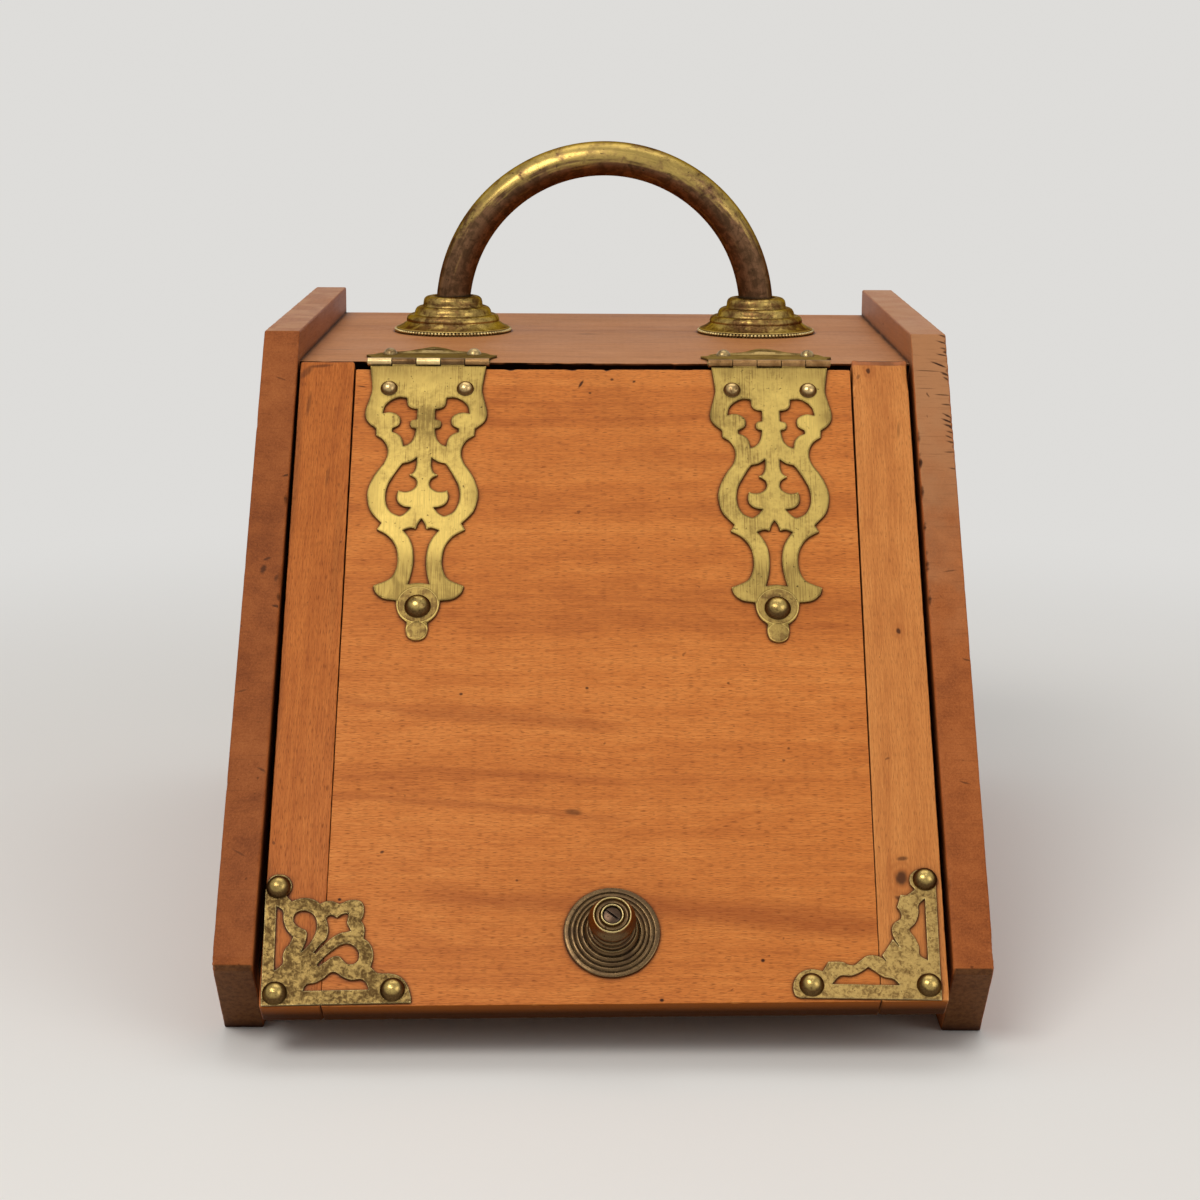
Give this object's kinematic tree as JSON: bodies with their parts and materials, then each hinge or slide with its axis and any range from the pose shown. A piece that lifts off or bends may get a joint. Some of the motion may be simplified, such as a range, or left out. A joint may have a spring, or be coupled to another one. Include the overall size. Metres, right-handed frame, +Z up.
{
  "type": "coal scuttle",
  "caption": "Slope-front wooden coal box with a strap-hinged lid, pierced brass corner mounts, a turned knob, an arched carrying handle and a loose metal liner.",
  "frame": {"origin": "middle of the footprint of the whole box, on the floor under its two side panels", "axes": "+Z up, +Y to the back, -Y is the sloping lid, +X to the viewer's right when facing the lid"},
  "size_m": [0.355, 0.5016, 0.3991],
  "materials": {
    "lid_wood": "satin, waxed",
    "side_wood": "satin, waxed",
    "top_wood": "satin, worn",
    "inner_wood": "matt, unpolished",
    "brushed_brass": "brushed, lightly tarnished",
    "aged_brass": "tarnished",
    "dark_bronze": "darkened",
    "steel": "dull",
    "black_enamel": "satin black, worn"
  },
  "bodies": {
    "case": {"side_panel_left": "side_wood", "side_panel_right": "side_wood", "top_board": "top_wood", "back_board": "inner_wood", "bottom_board": "inner_wood", "carcass_nails": "steel", "hinge_leaf_left": "aged_brass", "hinge_leaf_right": "aged_brass", "leaf_nails": "aged_brass", "hinge_pin_left": "aged_brass", "hinge_pin_right": "aged_brass", "carry_handle": "aged_brass", "handle_rose_left": "aged_brass", "handle_rose_right": "aged_brass", "handle_studs": "steel", "handle_washers": "steel", "handle_nuts": "steel", "coal_liner": "black_enamel", "liner_clip": "black_enamel", "liner_rivets": "steel"},
    "lid": {"lid_panel": "lid_wood", "lid_clamp_left": "lid_wood", "lid_clamp_right": "lid_wood", "strap_left": "brushed_brass", "strap_right": "brushed_brass", "strap_nails": "aged_brass", "strap_end_nails": "aged_brass", "corner_mount_left": "aged_brass", "corner_mount_right": "aged_brass", "corner_nails": "aged_brass", "knob_rose": "dark_bronze", "knob": "dark_bronze", "knob_screw": "dark_bronze"},
    "bow": {"liner_drop_handle": "black_enamel"}
  },
  "joints": [
    {"name": "lid_hinge", "type": "hinge", "parent": "case", "child": "lid", "pos_m": [0, -0.01334, 0.29115], "axis": [-1, 0, 0], "range_deg": [0, 190]},
    {"name": "bow_hinge", "type": "hinge", "parent": "case", "child": "bow", "pos_m": [0, 0.22978, 0.2], "axis": [-1, 0, 0], "range_deg": [0, 160]}
  ]
}
